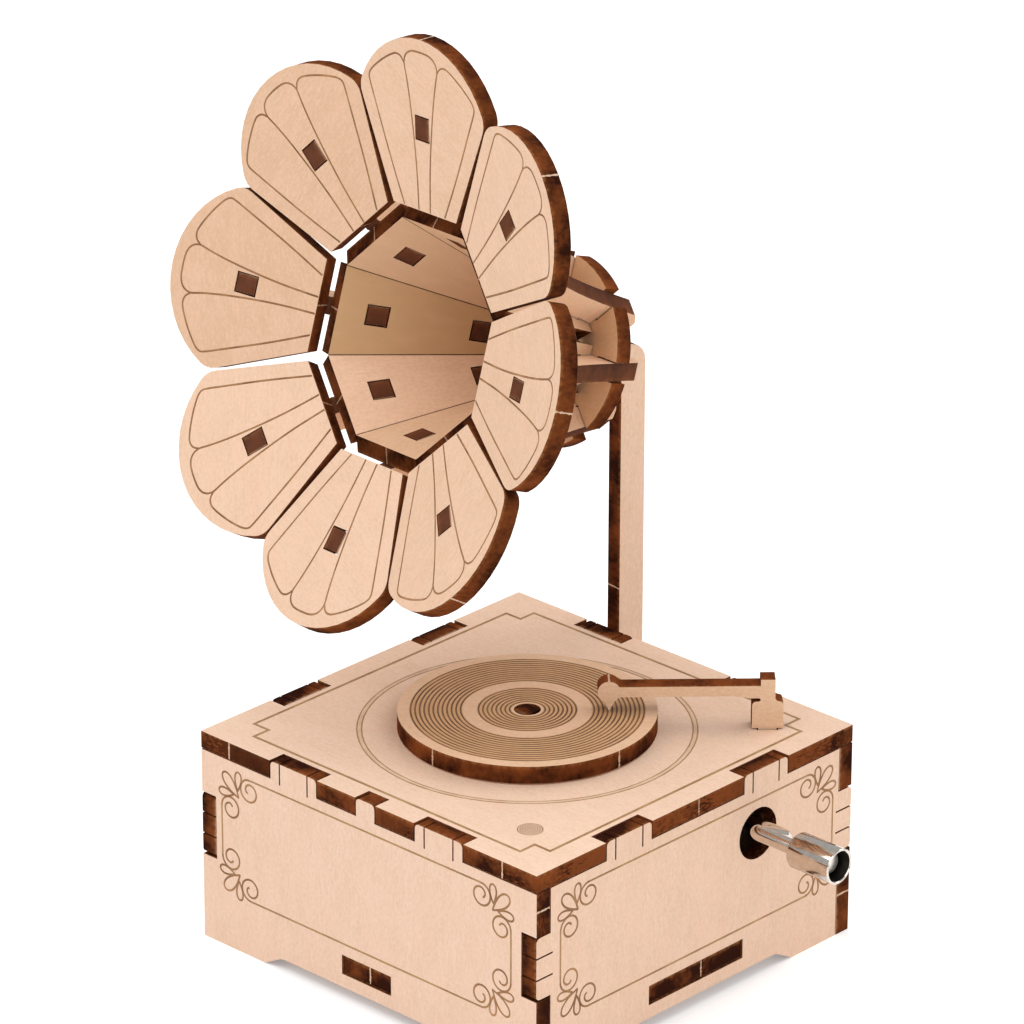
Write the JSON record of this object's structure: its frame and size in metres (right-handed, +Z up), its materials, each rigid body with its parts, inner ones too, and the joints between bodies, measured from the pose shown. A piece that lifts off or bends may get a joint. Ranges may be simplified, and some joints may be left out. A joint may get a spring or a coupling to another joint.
{
  "type": "hand cranked gramophone music box",
  "caption": "Plywood gramophone music box: a finger-jointed square box with a record, a tonearm, a petalled flower horn on a post and a bent wire crank that turns a hidden pinned cylinder.",
  "frame": {"origin": "centre of the underside of the floor plate, 4.8 mm above the table that the feet stand on", "axes": "+Z up; +X towards the wall that the crank comes out of; +Y towards the back, where the horn's post stands, so the horn's mouth faces -Y"},
  "size_m": [0.1327, 0.0808, 0.1505],
  "materials": {
    "plate_ply": "bare pale plywood with laser-burnt edges",
    "floor_ply": "bare pale plywood with laser-burnt edges",
    "wall_ply": "bare pale plywood with laser-burnt edges",
    "record_ply": "plywood with engraved rings",
    "peg_ply": "laser-burnt end of the board",
    "tonearm_ply": "bare pale plywood with laser-burnt edges",
    "post_ply": "bare pale plywood with laser-burnt edges",
    "disc_ply": "bare pale plywood with laser-burnt edges",
    "funnel_ply": "bare tan plywood with laser-burnt edges",
    "petal_ply": "bare pale plywood with engraved lobes",
    "rib_ply": "bare pale plywood with laser-burnt edges",
    "crank_nickel": "bright nickel plate",
    "bed_zinc": "as-cast zinc",
    "comb_steel": "ground spring steel",
    "screw_steel": "zinc-plated steel",
    "cylinder_brass": "turned brass",
    "gear_brass": "cut brass",
    "arbor_steel": "ground steel",
    "worm_steel": "turned steel"
  },
  "bodies": {
    "box": {"top_plate": "plate_ply", "floor_plate": "floor_ply", "front_panel": "wall_ply", "back_panel": "wall_ply", "left_panel": "wall_ply", "right_panel": "wall_ply", "tonearm": "tonearm_ply", "horn_post": "post_ply", "horn_rear_disc": "disc_ply", "horn_panel_1": "funnel_ply", "horn_panel_2": "funnel_ply", "horn_panel_3": "funnel_ply", "horn_panel_4": "funnel_ply", "horn_panel_5": "funnel_ply", "horn_panel_6": "funnel_ply", "horn_panel_7": "funnel_ply", "horn_panel_8": "funnel_ply", "horn_petal_1": "petal_ply", "horn_petal_2": "petal_ply", "horn_petal_3": "petal_ply", "horn_petal_4": "petal_ply", "horn_petal_5": "petal_ply", "horn_petal_6": "petal_ply", "horn_petal_7": "petal_ply", "horn_petal_8": "petal_ply", "horn_rib_1": "rib_ply", "horn_rib_2": "rib_ply", "horn_rib_3": "rib_ply", "horn_rib_4": "rib_ply", "horn_rib_5": "rib_ply", "horn_rib_6": "rib_ply", "horn_rib_7": "rib_ply", "horn_rib_8": "rib_ply", "movement_bed": "bed_zinc", "comb": "comb_steel", "comb_screw_1": "screw_steel", "comb_screw_2": "screw_steel", "bed_screw_1": "screw_steel", "bed_screw_2": "screw_steel", "bed_screw_3": "screw_steel"},
    "crank": {"crank_wire": "crank_nickel", "worm_shaft": "worm_steel"},
    "knob": {"crank_knob": "crank_nickel"},
    "cylinder": {"music_cylinder": "cylinder_brass", "cylinder_gear": "gear_brass", "cylinder_arbor": "arbor_steel"},
    "turntable": {"record_disc": "record_ply", "record_peg": "peg_ply"}
  },
  "joints": [
    {"name": "crank_turn", "type": "hinge", "parent": "box", "child": "crank", "pos_m": [0, 0.0145, 0.0226], "axis": [1, 0, 0], "continuous": true},
    {"name": "knob_spin", "type": "hinge", "parent": "crank", "child": "knob", "pos_m": [0.0534, 0.00586, 0.027], "axis": [1, 0, 0], "continuous": true},
    {"name": "cylinder_turn", "type": "hinge", "parent": "box", "child": "cylinder", "pos_m": [0.008, 0, 0.0141], "axis": [0, 1, 0], "continuous": true},
    {"name": "record_turn", "type": "hinge", "parent": "box", "child": "turntable", "pos_m": [0, 0, 0], "axis": [0, 0, 1], "continuous": true}
  ],
  "couplings": [
    {"joint": "cylinder_turn", "follows": "crank_turn", "ratio": -0.055556}
  ]
}
